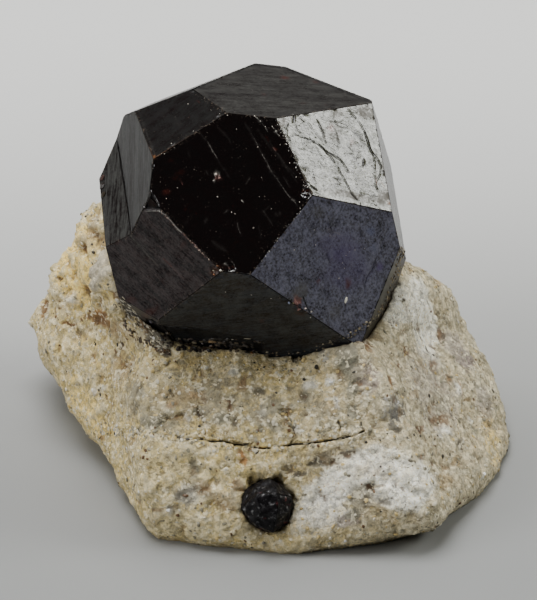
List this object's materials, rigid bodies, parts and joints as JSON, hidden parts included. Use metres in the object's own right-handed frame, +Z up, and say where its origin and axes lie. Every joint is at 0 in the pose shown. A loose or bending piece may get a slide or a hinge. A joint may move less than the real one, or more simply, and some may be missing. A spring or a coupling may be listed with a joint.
{
  "type": "garnet crystal in matrix",
  "caption": "Dark trapezohedral garnet crystal half sunk in a block of pale pegmatite rock, with a small garnet low in the rock's front.",
  "frame": {"origin": "middle of the rock's flat underside", "axes": "+Z up, away from the flat underside; -Y towards the front, where the rock slopes down from the large crystal to the small one"},
  "size_m": [0.0315, 0.0285, 0.025],
  "materials": {
    "garnet": "glossy",
    "stone": "matte"
  },
  "bodies": {
    "root": {"matrix": "stone", "garnet": "garnet", "small_garnet": "garnet"}
  },
  "joints": []
}
